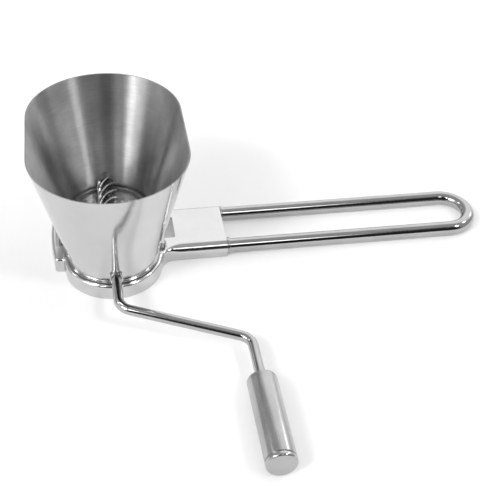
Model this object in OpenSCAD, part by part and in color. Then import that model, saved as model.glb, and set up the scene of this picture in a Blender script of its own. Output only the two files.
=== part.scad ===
// Rotary potato ricer in stainless steel: an oblong hopper tips up from a pressed frame,
// a crank turns a worm over a perforated plate, and a looped rod is the handle.
// Origin: centre of the frame on the table. X runs along the handle, the crank faces -Y.

/* [Hopper] */
// Outer radius of the hopper's round ends at the foot
hopper_foot_r = 28.8; // [26:0.1:36]
// Outer radius of the hopper's round ends at the rim
hopper_rim_r = 51; // [42:0.5:62]
// Length of the straight sides between the round ends
straight_len = 47; // [36:1:60]
// Height of the hopper from its foot to its rim
hopper_h = 80; // [60:1:100]
// Thickness of the hopper's sheet
hopper_wall = 0.8; // [0.6:0.1:1.2]
// Width of the lip turned out round the foot
foot_lip = 1.6; // [1:0.1:3]

/* [Base frame] */
// Width of the frame that shows outside the foot lip
frame_land = 2.1; // [2:0.1:6]
// Thickness of the frame's sheet
sheet_t = 0.8; // [0.6:0.1:1.2]
// Radius of the frame's pressed edge
edge_r = 2; // [1:0.1:2.4]
// How far the left ear stands out from the frame
ear_reach = 6; // [6:0.5:12]
// Half of the ear's length along the straight side
ear_half = 25; // [20:1:28]
// Radius of the fillets between the frame and the neck
neck_fillet = 10; // [6:1:12]

/* [Handle] */
// Diameter of the handle rod
handle_rod_d = 9.6; // [7:0.2:12]
// Distance between the two rod centres
handle_gap = 35; // [30:1:44]
// Distance from the hopper's centre to the end of the handle
handle_end = 258; // [200:1:320]
// Distance from the hopper's centre to the end of the neck channel
neck_end = 77; // [66:1:100]

/* [Crank] */
// Diameter of the crank rod
crank_rod_d = 6.5; // [5:0.1:8]
// Distance from the shaft to the grip, along the arm
crank_reach = 78.5; // [62:0.1:96]
// Straight length of shaft outside the hopper
shaft_out = 29; // [20:1:40]
// How far the arm leans outwards over its length
arm_lean = 28; // [10:1:40]
// Radius of the two bends
bend_r = 10; // [7:0.5:14]
// Straight length of rod between the outer bend and the grip
spindle_out = 34; // [26:1:44]

/* [Grip] */
// Diameter of the grip
grip_d = 18.2; // [16:0.1:24]
// Length of the grip with both caps
grip_len = 63; // [54:1:80]

/* [Worm] */
// Outer radius of the worm's flight
worm_r = 6.9; // [6:0.1:8.4]
// Number of flights wound side by side on the worm
worm_starts = 5; // [2:1:6]
// Distance along the shaft between neighbouring flights
worm_pitch = 8.4; // [7:0.2:12]
// Gap between the worm and the plate below it
worm_gap = 0.7; // [0.5:0.1:1.5]

/* [Perforated plate] */
// Thickness of the perforated plate
plate_t = 0.8; // [0.6:0.1:1.2]
// Diameter of the holes in the plate
hole_d = 3; // [2:0.1:3.6]
// Distance between hole centres
hole_pitch = 5; // [4.4:0.1:8]
// Depth of the plate's tray below its flange
tray_depth = 1.6; // [1.2:0.1:2.4]

/* [Hidden] */
$fn = 96;

// Clearances
run_fit = 0.06;      // radial play of a turning fit
loose_fit = 0.4;     // play of a lift-out piece
slack = 0.3;         // play between pieces that pass each other
bend_thin = 0.05;    // how much a rod thins round a bend
bend_lap = 1;        // angle that a bend laps into its straight, in degrees

// Frame
half = straight_len / 2;
rod_r = handle_rod_d / 2;
frame_h = handle_rod_d + sheet_t;
frame_r = hopper_foot_r + foot_lip + frame_land;
outlet_r = hopper_foot_r - 1.8;
rod_y = handle_gap / 2;
neck_half = rod_y + rod_r + sheet_t;
fillet_y = neck_half + neck_fillet;
fillet_x = sqrt(pow(frame_r + neck_fillet, 2) - pow(fillet_y - half, 2));
neck_start = fillet_x + 2;
ear_x = frame_r + ear_reach;
ear_bulge = 2;
ear_arc_r = (ear_half * ear_half + ear_bulge * ear_bulge) / (2 * ear_bulge);
window_half = 11;
edge_steps = 4;
collar_len = 2;
collar_rise = 1;

// Hook slots in the neck and the axis that the hopper tips about
hook_t = 1;
hook_w = 6;
hook_y = rod_y;
hinge_x = frame_r + 2.7;
hinge_z = frame_h - sheet_t / 2;
hook_x = hinge_x - 0.4;
slot_x0 = hinge_x - 2.3;
slot_x1 = hinge_x + 0.6;
window_x0 = slot_x0 + 1;
window_x1 = neck_start - 0.7;
catch_x = frame_r + 3;
catch_w = 14;

// Hopper
foot_z = frame_h + plate_t;
rim_z = foot_z + hopper_h;
lean = (hopper_rim_r - hopper_foot_r) / hopper_h;
wall_h = hopper_wall * sqrt(1 + lean * lean);
function wall_r(z) = hopper_foot_r + lean * (z - foot_z);

// Perforated plate
tray_r = outlet_r - loose_fit;
tray_z = frame_h - tray_depth;
flange_r = hopper_foot_r + foot_lip / 2;
field_half = half + 15;

// Shaft, worm and bearings
shaft_z = tray_z + plate_t + worm_gap + worm_r;
crank_r = crank_rod_d / 2;
bush_r = crank_r + 0.75;
bush_flange_r = crank_r + 1.2;
front_y = -(half + wall_r(shaft_z + bush_flange_r)) - 0.2;
washer_r = crank_r + 1.7;
washer_t = 1;
washer_y = -(half + wall_r(shaft_z - washer_r) - wall_h) + 0.2;
core_r = crank_r + 1;
core_y0 = washer_y + washer_t + slack;
socket_r = 4.8;
socket_y = half + wall_r(shaft_z - socket_r) - wall_h - 5;
journal_r = crank_r - 0.7;
core_y1 = socket_y - slack;
flight_y0 = core_y0 + 3;
flight_y1 = core_y1 - 1;
pin_r = 1;
pin_y = core_y0 + 1.6;

// Crank path, drawn in the plane of the shaft and the grip
grip_r = grip_d / 2;
grip_drop = shaft_z - grip_r;
crank_tilt = asin(grip_drop / crank_reach);
bend_angle = atan2(crank_reach, arm_lean);
bend_trim = bend_r * tan(bend_angle / 2);
arm_len = sqrt(crank_reach * crank_reach + arm_lean * arm_lean);
bend_y = -half - wall_r(shaft_z) - shaft_out;
outer_bend_y = bend_y - arm_lean;

// Grip, measured from its shoulder
grip_y = outer_bend_y - spindle_out;
shoulder_len = 4;
cap_len = 3.6;
groove_w = 0.7;
tube_t = 1.2;
clip_t = 1;
clip_r = crank_r + 1.8;
liner_len = grip_len - shoulder_len - cap_len - 10;
spindle_end = shoulder_len + liner_len + 5;

module oblong(r) {
    translate([0, half]) circle(r);
    translate([0, -half]) circle(r);
    square([2 * r, straight_len], center = true);
}

// Solid with round ends and straight sides whose radius changes from r0 to r1
module oblong_taper(r0, r1, h) {
    for (s = [-1, 1])
        translate([0, s * half, 0]) cylinder(h = h, r1 = r0, r2 = r1);
    rotate([90, 0, 0])
        linear_extrude(height = straight_len, center = true)
            polygon([[-r0, 0], [r0, 0], [r1, h], [-r1, h]]);
}

module along_y(y, x = 0, z = shaft_z) {
    translate([x, y, z]) rotate([-90, 0, 0]) children();
}

// Fillet that joins the round end of the frame to the neck's edge
module neck_corner(inset) {
    r = neck_fillet + inset;
    difference() {
        polygon([[0, -half], [fillet_x, -neck_half + inset + 1], [fillet_x, -fillet_y]]);
        translate([fillet_x, -fillet_y]) circle(r);
    }
}

module ear(inset) {
    intersection() {
        translate([-ear_x - ear_bulge, -ear_half + inset])
            square([ear_x, 2 * (ear_half - inset)]);
        translate([ear_arc_r - ear_x - ear_bulge, 0]) circle(ear_arc_r - inset, $fn = 360);
    }
}

module frame_outline(inset) {
    oblong(frame_r - inset);
    ear(inset);
    translate([0, -neck_half + inset])
        square([neck_start, 2 * (neck_half - inset)]);
    neck_corner(inset);
    mirror([0, 1]) neck_corner(inset);
}

module neck_profile(r, bottom) {
    for (s = [-1, 1]) {
        translate([s * rod_y, rod_r]) circle(r);
        translate([s * rod_y - r, bottom]) square([2 * r, rod_r - bottom]);
    }
}

// Channel that covers both handle rods
module neck_channel() {
    translate([neck_start, 0, 0]) rotate([90, 0, 90])
        linear_extrude(height = neck_end - neck_start)
            difference() {
                union() {
                    neck_profile(rod_r + sheet_t, 0);
                    translate([-rod_y, frame_h - sheet_t]) square([handle_gap, sheet_t]);
                }
                neck_profile(rod_r, -1);
                translate([-rod_y, -1]) square([handle_gap, frame_h - sheet_t + 1]);
            }
}

module frame_shell() {
    difference() {
        union() {
            linear_extrude(height = frame_h - edge_r) frame_outline(0);
            for (k = [0 : edge_steps - 1])
                linear_extrude(height = frame_h - edge_r + edge_r * sin(90 * (k + 1) / edge_steps))
                    frame_outline(edge_r * (1 - cos(90 * (k + 0.5) / edge_steps)));
        }
        translate([0, 0, -1])
            linear_extrude(height = frame_h - sheet_t + 1) frame_outline(sheet_t);
        // open end towards the channel
        translate([neck_start - sheet_t - 1, -neck_half + sheet_t, -1])
            cube([sheet_t + 2, 2 * (neck_half - sheet_t), frame_h - sheet_t + 1]);
    }
}

module frame_cuts() {
    translate([0, 0, -1]) linear_extrude(height = frame_h + 2) {
        oblong(outlet_r);
        translate([window_x0, -window_half]) square([window_x1 - window_x0, 2 * window_half]);
        translate([-catch_x - 2.2, -window_half]) square([3.6, 2 * window_half]);
        for (s = [-1, 1])
            translate([slot_x0, s * hook_y - hook_w / 2 - loose_fit])
                square([slot_x1 - slot_x0, hook_w + 2 * loose_fit]);
    }
}

module base_frame() {
    color("gainsboro")
        difference() {
            union() {
                frame_shell();
                neck_channel();
            }
            frame_cuts();
        }
}

// Part of a ring that bends a rod, from the X axis round to the angle
module rod_bend(angle, centre_r, r) {
    rotate([0, 0, -bend_lap])
        rotate_extrude(angle = angle + 2 * bend_lap)
            translate([centre_r, 0]) circle(r - bend_thin);
}

module handle_loop() {
    bend_x = handle_end - rod_r - rod_y;
    color("silver") {
        for (s = [-1, 1])
            translate([neck_start + 1, s * rod_y, rod_r]) rotate([0, 90, 0])
                cylinder(h = bend_x - neck_start - 1, r = rod_r);
        translate([bend_x, 0, rod_r]) rotate([0, 0, -90])
            rod_bend(180, rod_y, rod_r);
    }
}

// Collars that hug the rods where they leave the channel, open underneath
module rod_collars() {
    open_half = rod_r + sheet_t + 1;
    color("silver")
        for (s = [-1, 1])
            translate([neck_end, s * rod_y, rod_r]) rotate([0, 90, 0])
                difference() {
                    cylinder(h = collar_len, r = rod_r + sheet_t);
                    translate([0, 0, -1]) cylinder(h = collar_len + 2, r = rod_r);
                    translate([rod_r - collar_rise, -open_half, -1])
                        cube([open_half, 2 * open_half, collar_len + 2]);
                }
}

module hole_field() {
    row_h = hole_pitch * sqrt(3) / 2;
    reach = tray_r - plate_t - hole_d;
    rows = floor((field_half - hole_d) / row_h);
    cols = floor(reach / hole_pitch) + 1;
    for (j = [-rows : rows]) for (i = [-cols : cols]) {
        x = (i + (abs(j) % 2) / 2) * hole_pitch;
        y = j * row_h;
        past = max(abs(y) - half, 0);
        if (x * x + past * past < reach * reach) translate([x, y]) circle(hole_d / 2, $fn = 24);
    }
}

module perforated_plate() {
    color("lightgray")
        difference() {
            union() {
                translate([0, 0, frame_h]) linear_extrude(height = plate_t) oblong(flange_r);
                translate([0, 0, tray_z]) linear_extrude(height = tray_depth + plate_t) oblong(tray_r);
            }
            translate([0, 0, tray_z + plate_t])
                linear_extrude(height = tray_depth + 1) oblong(tray_r - plate_t);
            translate([0, 0, tray_z - 1]) linear_extrude(height = plate_t + 2) hole_field();
            for (s = [-1, 1])
                translate([-tray_r + 3, s * field_half - 0.6, tray_z + plate_t / 2])
                    cube([2 * tray_r - 6, 1.2, plate_t]);
        }
}

module hopper_inside() {
    translate([0, 0, foot_z - 1])
        oblong_taper(wall_r(foot_z - 1) - wall_h, wall_r(rim_z + 1) - wall_h, hopper_h + 2);
}

module hopper() {
    color("silver")
        difference() {
            union() {
                translate([0, 0, foot_z]) oblong_taper(hopper_foot_r, hopper_rim_r, hopper_h);
                translate([0, 0, foot_z])
                    linear_extrude(height = hopper_wall) oblong(hopper_foot_r + foot_lip);
            }
            hopper_inside();
            along_y(front_y - 5) cylinder(h = 20, r = bush_r);
        }
}

// Strip on the hopper's side wall that reaches out over the frame and down through it
module wall_strip(w, x_out, z_low, tip) {
    z_pad = foot_z + 18;
    z_arm = foot_z + hopper_wall + 0.8;
    rotate([90, 0, 0])
        linear_extrude(height = w, center = true)
            polygon([[wall_r(z_pad), z_pad], [wall_r(z_pad) + hook_t, z_pad],
                     [wall_r(z_arm + hook_t) + hook_t, z_arm + hook_t], [x_out, z_arm + hook_t],
                     [x_out, z_low + hook_t], [x_out + tip, z_low + hook_t], [x_out + tip, z_low],
                     [x_out - hook_t, z_low], [x_out - hook_t, z_arm], [wall_r(z_arm), z_arm]]);
}

module hinge_hook(side) {
    color("darkgray")
        translate([0, side * hook_y, 0])
            wall_strip(hook_w, hook_x, frame_h - sheet_t - hook_t - 0.4, 1.6);
}

module hinge_hook_front() {
    hinge_hook(-1);
}

module hinge_hook_back() {
    hinge_hook(1);
}

module catch_tongue() {
    color("darkgray")
        mirror([1, 0, 0]) wall_strip(catch_w, catch_x, frame_h - 5, 0);
}

module front_bush() {
    color("dimgray")
        difference() {
            union() {
                along_y(front_y) cylinder(h = washer_y - front_y, r = bush_r);
                along_y(front_y - 1) cylinder(h = 1, r = bush_flange_r);
            }
            along_y(front_y - 2) cylinder(h = washer_y - front_y + 4, r = crank_r + run_fit);
        }
}

module thrust_washer() {
    color("dimgray")
        along_y(washer_y)
            difference() {
                cylinder(h = washer_t, r = washer_r);
                translate([0, 0, -1]) cylinder(h = washer_t + 2, r = crank_r + run_fit);
            }
}

module rear_socket() {
    color("dimgray")
        difference() {
            intersection() {
                along_y(socket_y) cylinder(h = 12, r = socket_r);
                hopper_inside();
            }
            along_y(socket_y - 1) cylinder(h = 5, r = journal_r + run_fit);
        }
}

// Crank centre line in the plane of shaft and grip: along -Y, round a bend, out along the arm
module in_crank_plane() {
    translate([0, 0, shaft_z]) rotate([0, crank_tilt, 0]) children();
}

module crank_rod() {
    color("silver")
        difference() {
            in_crank_plane() {
                rotate([90, 0, 0]) translate([0, 0, -core_y1])
                    cylinder(h = core_y1 - bend_y - bend_trim, r = crank_r);
                rotate([90, 0, 0]) translate([0, 0, -core_y1 - 3.6]) cylinder(h = 4, r = journal_r);
                translate([bend_r, bend_y + bend_trim, 0]) rotate([0, 0, 180])
                    rod_bend(bend_angle, bend_r, crank_r);
                translate([0, bend_y, 0]) rotate([0, 0, -90 + bend_angle]) rotate([0, 90, 0])
                    translate([0, 0, bend_trim]) cylinder(h = arm_len - 2 * bend_trim, r = crank_r);
                translate([crank_reach - bend_r, outer_bend_y - bend_trim, 0])
                    rod_bend(bend_angle, bend_r, crank_r);
                translate([crank_reach, outer_bend_y - bend_trim, 0]) rotate([90, 0, 0])
                    cylinder(h = spindle_out + spindle_end - bend_trim, r = crank_r);
            }
            along_pin() cylinder(h = 2 * core_r + 2, r = pin_r, center = true);
        }
}

module along_pin() {
    translate([0, pin_y, shaft_z]) rotate([0, 90, 0]) children();
}

module worm_core() {
    color("gray")
        difference() {
            along_y(core_y0) cylinder(h = core_y1 - core_y0, r = core_r);
            along_y(core_y0 - 1) cylinder(h = core_y1 - core_y0 + 2, r = crank_r);
            along_pin() cylinder(h = 2 * core_r + 2, r = pin_r, center = true);
        }
}

module worm_flight() {
    turns = (flight_y1 - flight_y0) / (worm_starts * worm_pitch);
    blade = 14;
    arc = [for (a = [0 : blade / 2 : blade]) [worm_r * cos(a), worm_r * sin(a)]];
    root = [for (a = [blade, 0]) [core_r * cos(a), core_r * sin(a)]];
    color("gray")
        along_y(flight_y0)
            linear_extrude(height = flight_y1 - flight_y0, twist = -360 * turns,
                           slices = round(turns * 24), $fn = 6)
                for (k = [1 : worm_starts])
                    rotate(k * 360 / worm_starts)
                        polygon(concat(arc, root));
}

module worm_pin() {
    color("dimgray")
        along_pin() cylinder(h = 2 * core_r, r = pin_r, center = true);
}

// Puts a piece on the grip's axis with +Z pointing from the shoulder to the end cap
module on_spindle(from = 0) {
    in_crank_plane()
        translate([crank_reach, grip_y - from, 0]) rotate([90, 0, 0]) children();
}

module grip_shoulder() {
    round_r = 3;
    color("lightgray")
        on_spindle()
            rotate_extrude()
                difference() {
                    union() {
                        translate([crank_r + slack, 0])
                            square([grip_r - round_r - crank_r - slack, shoulder_len]);
                        translate([crank_r + slack, round_r])
                            square([grip_r - crank_r - slack, shoulder_len - round_r]);
                        intersection() {
                            translate([grip_r - round_r, round_r]) circle(round_r);
                            square([grip_r, round_r]);
                        }
                    }
                    translate([0, -1]) square([crank_r + slack, shoulder_len + 2]);
                }
}

module grip_tube() {
    color("silver")
        on_spindle(shoulder_len)
            difference() {
                cylinder(h = grip_len - shoulder_len - cap_len, r = grip_r);
                translate([0, 0, -1]) cylinder(h = grip_len, r = grip_r - tube_t);
            }
}

module grip_liner() {
    color("darkslategray")
        on_spindle(shoulder_len)
            difference() {
                cylinder(h = liner_len, r = grip_r - tube_t);
                translate([0, 0, -1]) cylinder(h = liner_len + 2, r = crank_r + run_fit);
            }
}

module grip_end_cap() {
    bevel = 1.1;
    plug_len = 3;
    color("lightgray")
        on_spindle(grip_len - cap_len)
            rotate_extrude()
                polygon([[0, -plug_len], [grip_r - tube_t, -plug_len], [grip_r - tube_t, 0],
                         [grip_r - groove_w, 0], [grip_r - groove_w, groove_w], [grip_r, groove_w],
                         [grip_r, cap_len - bevel], [grip_r - bevel, cap_len], [0, cap_len]]);
}

module spindle_washer() {
    color("dimgray")
        on_spindle(shoulder_len + liner_len)
            difference() {
                cylinder(h = clip_t, r = grip_r - tube_t - slack);
                translate([0, 0, -1]) cylinder(h = clip_t + 2, r = crank_r + run_fit);
            }
}

module spindle_clip() {
    color("dimgray")
        on_spindle(shoulder_len + liner_len + clip_t + slack)
            difference() {
                cylinder(h = clip_t, r = clip_r);
                translate([0, 0, -1]) cylinder(h = clip_t + 2, r = crank_r);
            }
}

base_frame();
handle_loop();
rod_collars();
perforated_plate();
hopper();
hinge_hook_front();
hinge_hook_back();
catch_tongue();
front_bush();
thrust_washer();
rear_socket();
crank_rod();
worm_core();
worm_flight();
worm_pin();
grip_tube();
grip_shoulder();
grip_end_cap();
grip_liner();
spindle_clip();
spindle_washer();
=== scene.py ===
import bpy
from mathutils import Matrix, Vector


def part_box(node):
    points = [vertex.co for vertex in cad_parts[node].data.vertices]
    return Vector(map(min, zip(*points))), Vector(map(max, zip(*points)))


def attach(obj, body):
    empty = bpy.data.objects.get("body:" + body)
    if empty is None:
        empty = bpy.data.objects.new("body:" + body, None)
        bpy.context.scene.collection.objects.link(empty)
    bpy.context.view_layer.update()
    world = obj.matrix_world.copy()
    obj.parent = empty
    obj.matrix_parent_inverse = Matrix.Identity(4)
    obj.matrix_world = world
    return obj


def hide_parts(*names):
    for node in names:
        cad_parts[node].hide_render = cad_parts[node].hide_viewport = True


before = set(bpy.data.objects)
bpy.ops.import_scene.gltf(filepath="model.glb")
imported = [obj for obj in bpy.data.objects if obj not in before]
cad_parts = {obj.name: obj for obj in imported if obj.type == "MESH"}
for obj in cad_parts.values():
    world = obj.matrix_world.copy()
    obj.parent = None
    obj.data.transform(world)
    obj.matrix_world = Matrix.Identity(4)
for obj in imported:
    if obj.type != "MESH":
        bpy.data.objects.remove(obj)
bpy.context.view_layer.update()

# Rotary potato ricer in stainless steel. Sizes are in millimetres and become metres when a mesh
# is made. X runs along the handle, the crank faces -Y, and Z is up.

import math
import bpy
import bmesh
from mathutils import Matrix, Vector

MM = 0.001


def node_box(name):
    low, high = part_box(name)
    return [v / MM for v in low], [v / MM for v in high]


# ---------------------------------------------------------------- sizes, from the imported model

hopper_low, hopper_high = node_box("hopper")
RIM_R = hopper_high[0]                      # round ends of the rim
HALF = hopper_high[1] - hopper_high[0]      # half of the straight side
FOOT_Z, RIM_Z = hopper_low[2], hopper_high[2]
FOOT_R = 28.8                               # round ends of the hopper's foot
FOOT_LIP = 1.6
SHEET = 0.8                                 # all the pressed sheet
LEAN = (RIM_R - FOOT_R) / (RIM_Z - FOOT_Z)
WALL = SHEET * math.hypot(1, LEAN)          # the wall's thickness, measured level

frame_low, frame_high = node_box("base_frame")
FRAME_H = frame_high[2]
FRAME_R = frame_high[1] - HALF
NECK_END = frame_high[0]
EAR_X = -frame_low[0]                       # the ear's furthest reach
EAR_HALF = 25
EAR_BULGE = 2
EDGE_R = 2                                  # pressed edge of the frame
NECK_FILLET = 10
OUTLET_R = FOOT_R - 1.8

handle_low, handle_high = node_box("handle_loop")
HANDLE_R = (handle_high[2] - handle_low[2]) / 2
HANDLE_Y = handle_high[1] - HANDLE_R
HANDLE_END = handle_high[0]
NECK_HALF = HANDLE_Y + HANDLE_R + SHEET

crank_low, crank_high = node_box("crank_rod")
grip_low, grip_high = node_box("grip_tube")
shoulder_low, shoulder_high = node_box("grip_shoulder")
cap_low, cap_high = node_box("grip_end_cap")
bush_low, bush_high = node_box("front_bush")
washer_low, washer_high = node_box("thrust_washer")
core_low, core_high = node_box("worm_core")
flight_low, flight_high = node_box("worm_flight")
socket_low, socket_high = node_box("rear_socket")
tray_low, tray_high = node_box("perforated_plate")
ROD_R = 3.25                                # crank rod
JOURNAL_R = ROD_R - 0.7                     # its thinner end, in the rear socket
RUN_FIT = 0.06                              # play round a turning shaft
TUBE_T = 1.2                                # the grip's wall
SHAFT_Z = (core_low[2] + core_high[2]) / 2
GRIP_X = (grip_low[0] + grip_high[0]) / 2
GRIP_Z = (grip_low[2] + grip_high[2]) / 2
GRIP_R = (grip_high[2] - grip_low[2]) / 2
BEND_R = 10                                 # of the crank rod's middle line
ARM_LEAN = 28                               # how far outward the arm runs along the shaft
WORM_R = (flight_high[2] - flight_low[2]) / 2
CORE_R = (core_high[2] - core_low[2]) / 2
WORM_PITCH = 8.4                            # from one flight to the next
WORM_STARTS = 5
HOLE_R, HOLE_PITCH = 1.5, 5
UV_STEP = 0.01                              # a millimetre in the map that guides the brush lines


def wall_r(z):
    """Radius of the hopper's round ends at a height."""
    return FOOT_R + LEAN * (z - FOOT_Z)


# ---------------------------------------------------------------- making meshes

def new_piece(name, verts, faces, finishes, face_finish=None, normals=None, uvs=None, sharp=35):
    """A piece from points in millimetres. normals and uvs are given for each corner of each face."""
    mesh = bpy.data.meshes.new(name)
    mesh.from_pydata([[c * MM for c in v] for v in verts], [], faces)
    for finish in finishes:
        mesh.materials.append(finish)
    if face_finish:
        mesh.polygons.foreach_set("material_index", face_finish)
    if uvs:
        layer = mesh.uv_layers.new(name="grain")
        layer.data.foreach_set("uv", [c for uv in uvs for c in uv])
    mesh.shade_smooth()
    mesh.set_sharp_from_angle(angle=math.radians(sharp))
    if normals:
        mesh.normals_split_custom_set(normals)
    mesh.update()
    piece = bpy.data.objects.new(name, mesh)
    bpy.context.scene.collection.objects.link(piece)
    return piece


def tidy_mesh(piece, gap=0.0005):
    """Merges doubled points and turns every face outward."""
    bm = bmesh.new()
    bm.from_mesh(piece.data)
    bmesh.ops.remove_doubles(bm, verts=bm.verts, dist=gap * MM)
    bmesh.ops.recalc_face_normals(bm, faces=bm.faces)
    bm.to_mesh(piece.data)
    bm.free()
    piece.data.shade_smooth()


def thick_sheet(name, points, faces, thickness, finishes, uv=None, inner_finish=0):
    """A sheet whose skin is points, each with its outward normal. The far side lies thickness behind
    the skin, no higher than the skin's top, and cut edges join the two."""
    verts = [p for p, n in points]
    count = len(verts)
    ceiling = max(v[2] for v in verts)
    for p, n in points:
        x, y, z = (p[i] - thickness * n[i] for i in range(3))
        verts.append((x, y, min(z, ceiling)))
    out_faces, face_finish, normals, uvs = [], [], [], []
    blank = (0.0, 0.0, 0.0)
    edges = {}
    for f in faces:
        for a, b in zip(f, f[1:] + f[:1]):
            edges[(a, b)] = True
        out_faces.append(f)
        face_finish.append(0)
        normals += [points[i][1] for i in f]
        uvs += [uv[i] if uv else (0, 0) for i in f]
    for f in faces:
        back = [i + count for i in reversed(f)]
        out_faces.append(back)
        face_finish.append(inner_finish)
        normals += [tuple(-c for c in points[i - count][1]) for i in back]
        uvs += [uv[i - count] if uv else (0, 0) for i in back]
    for a, b in edges:
        if (b, a) not in edges:
            out_faces.append([b, a, a + count, b + count])
            face_finish.append(len(finishes) - 1)
            normals += [blank] * 4
            uvs += [uv[i] if uv else (0, 0) for i in (b, a, a, b)]
    return new_piece(name, verts, out_faces, finishes, face_finish, normals, uvs)


def grid_faces(rings, count, closed=True):
    """Faces between rings of count points each."""
    faces = []
    for j in range(rings - 1):
        for i in range(count if closed else count - 1):
            k = (i + 1) % count
            faces.append([j * count + i, j * count + k, (j + 1) * count + k, (j + 1) * count + i])
    return faces


def oblong(r, arc=64, flat=6):
    """Points round an oblong, each with its outward direction, from the middle of the front end."""
    out = []
    start = [math.radians(-90 + 90 * i / (arc // 2)) for i in range(arc // 2)]
    for a in start:
        out.append((r * math.cos(a), -HALF + r * math.sin(a), math.cos(a), math.sin(a)))
    for i in range(flat):
        out.append((r, -HALF + 2 * HALF * i / flat, 1, 0))
    for i in range(arc):
        a = math.pi * i / arc
        out.append((r * math.cos(a), HALF + r * math.sin(a), math.cos(a), math.sin(a)))
    for i in range(flat):
        out.append((-r, HALF - 2 * HALF * i / flat, -1, 0))
    for i in range(arc // 2):
        a = math.pi + math.pi * i / arc
        out.append((r * math.cos(a), -HALF + r * math.sin(a), math.cos(a), math.sin(a)))
    return out


def arc_xy(cx, cy, r, a0, a1, steps):
    """Points on an arc from a0 to a1 degrees, each with the direction out from its centre."""
    out = []
    for i in range(steps + 1):
        a = math.radians(a0 + (a1 - a0) * i / steps)
        out.append((cx + r * math.cos(a), cy + r * math.sin(a), math.cos(a), math.sin(a)))
    return out


def fill_flat(loops):
    """Triangles that fill the first loop and leave the others open. Loops are lists of (x, y)."""
    bm = bmesh.new()
    index, corners = {}, []
    for loop in loops:
        ring = [bm.verts.new((x, y, 0)) for x, y in loop]
        for v in ring:
            index[v] = len(corners)
            corners.append(v)
        for a, b in zip(ring, ring[1:] + ring[:1]):
            bm.edges.new((a, b))
    bmesh.ops.triangle_fill(bm, use_beauty=True, use_dissolve=False, edges=bm.edges[:], normal=(0, 0, 1))
    faces = []
    for f in bm.faces:
        ring = [index[v] for v in f.verts]
        faces.append(ring if f.normal.z > 0 or f.calc_area() == 0 else ring[::-1])
    bm.free()
    return faces


def lathe(name, profile, origin, finish, axis=(0, -1, 0), sides=72, sharp=35, grain_scale=1.0):
    """A turned piece. profile is a closed ring of (radius, distance along the axis)."""
    axis = Vector(axis).normalized()
    side = axis.orthogonal().normalized()
    up = axis.cross(side)
    verts, uvs = [], []
    count = len(profile)
    for i in range(sides):
        a = 2 * math.pi * i / sides
        d = side * math.cos(a) + up * math.sin(a)
        for r, h in profile:
            verts.append(tuple(Vector(origin) + d * r + axis * h))
    faces = []
    for i in range(sides):
        k = (i + 1) % sides
        for j in range(count):
            m = (j + 1) % count
            if profile[j][0] < 1e-6 and profile[m][0] < 1e-6:
                continue
            faces.append([i * count + j, k * count + j, k * count + m, i * count + m])
            s = profile[j][1] + profile[j][0]
            t = profile[m][1] + profile[m][0]
            u0, u1 = i / sides * grain_scale, (i + 1) / sides * grain_scale
            uvs += [(u0, s * UV_STEP), (u1, s * UV_STEP), (u1, t * UV_STEP), (u0, t * UV_STEP)]
    piece = new_piece(name, verts, faces, [finish], uvs=uvs)
    tidy_mesh(piece)
    piece.data.set_sharp_from_angle(angle=math.radians(sharp))
    return piece


def round_corner(before, corner, after, radius, steps=4):
    """The points of a small arc in place of a profile's corner."""
    a, b, c = Vector(before), Vector(corner), Vector(after)
    u, w = (a - b).normalized(), (c - b).normalized()
    angle = u.angle(w)
    trim = min(radius / math.tan(angle / 2), (a - b).length * 0.49, (c - b).length * 0.49)
    r = trim * math.tan(angle / 2)
    centre = b + (u + w).normalized() * (r / math.sin(angle / 2))
    p, q = b + u * trim, b + w * trim
    out = []
    for i in range(steps + 1):
        d = ((p - centre) * (1 - i / steps) + (q - centre) * (i / steps)).normalized()
        out.append(tuple(centre + d * r))
    return out


def soften(profile, radii, steps=4, closed=True):
    """A profile with each corner rounded by the radius given for it, or left if that is 0."""
    out = []
    count = len(profile)
    for i, (point, radius) in enumerate(zip(profile, radii)):
        if radius and (closed or 0 < i < count - 1):
            out += round_corner(profile[i - 1], point, profile[(i + 1) % count], radius, steps)
        else:
            out.append(tuple(point))
    return out


def swept_rod(name, path, radii, finish, sides=40):
    """A round rod along a path of points, with a radius at each."""
    path = [Vector(p) for p in path]
    count = len(path)
    heads = [(path[min(i + 1, count - 1)] - path[max(i - 1, 0)]).normalized() for i in range(count)]
    side = heads[0].orthogonal().normalized()
    verts, uvs, rings, length = [], [], [], 0.0
    for i, (p, head) in enumerate(zip(path, heads)):
        side = (side - head * side.dot(head)).normalized()
        up = head.cross(side)
        if i:
            length += (p - path[i - 1]).length
        rings.append(length)
        for k in range(sides):
            a = 2 * math.pi * k / sides
            verts.append(tuple(p + (side * math.cos(a) + up * math.sin(a)) * radii[i]))
    faces = grid_faces(count, sides)
    for j in range(count - 1):
        for k in range(sides):
            u0, u1 = k / sides * 0.2, (k + 1) / sides * 0.2
            v0, v1 = rings[j] * UV_STEP, rings[j + 1] * UV_STEP
            uvs += [(v0, u0), (v0, u1), (v1, u1), (v1, u0)]
    faces.append(list(range(sides - 1, -1, -1)))
    faces.append([(count - 1) * sides + k for k in range(sides)])
    uvs += [(0, 0)] * (2 * sides)
    return new_piece(name, verts, faces, [finish], uvs=uvs)


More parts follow.
